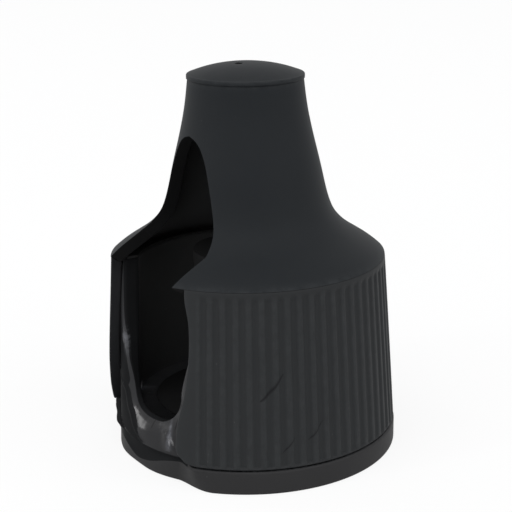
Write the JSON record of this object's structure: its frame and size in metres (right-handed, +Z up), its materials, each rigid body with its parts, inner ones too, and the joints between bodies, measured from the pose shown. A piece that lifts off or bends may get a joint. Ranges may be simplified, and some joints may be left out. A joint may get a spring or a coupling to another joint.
{
  "type": "liquor pour spout",
  "caption": "Hooded bottle pour spout with a keyhole window: a ribbed hood turns on a fixed barrel that holds a ball-metered outlet, over a push-on socket.",
  "frame": {"origin": "centre of the bottle socket's mouth, on the plane the base stands on", "axes": "+Z up the spout along the hood's turning axis; the keyhole window faces -Y"},
  "size_m": [0.0434, 0.0412, 0.0563],
  "materials": {
    "matte_black": "fine moulded grain, charcoal",
    "gloss_black": "polished black",
    "inner_black": "black, unlit inside",
    "slip_black": "low-friction black film",
    "rubber_black": "moulded elastomer",
    "steel": "stainless",
    "dark_steel": "black oxide"
  },
  "bodies": {
    "barrel": {"base_ring": "matte_black", "base_screws": "steel", "grip_ring": "rubber_black", "lip_gasket": "rubber_black", "slip_ring": "slip_black", "inner_barrel": "gloss_black", "barrel_top_seal": "rubber_black", "retaining_clip": "dark_steel", "index_spring": "steel", "port_plate": "inner_black", "tube_gasket": "rubber_black", "metering_tube": "inner_black", "tube_screws": "dark_steel", "ball_seat": "rubber_black", "nozzle_cap": "inner_black", "breather_cage": "inner_black", "breather_tube": "inner_black"},
    "hood": {"ribbed_skirt": "matte_black", "neck_shell": "matte_black", "dome_cap": "matte_black", "vent_screen": "steel", "screen_retainer": "inner_black"},
    "metering_ball": {"metering_ball": "steel"},
    "breather_ball": {"breather_ball": "steel"}
  },
  "joints": [
    {"name": "hood_turn", "type": "hinge", "parent": "barrel", "child": "hood", "pos_m": [0, 0, 0], "axis": [0, 0, 1], "range_deg": [0, 110]},
    {"name": "metering_ball_travel", "type": "slide", "parent": "barrel", "child": "metering_ball", "axis": [0, 0, 1], "range_m": [0, 0.011]},
    {"name": "breather_ball_travel", "type": "slide", "parent": "barrel", "child": "breather_ball", "axis": [0, 0, 1], "range_m": [0, 0.0018]}
  ]
}
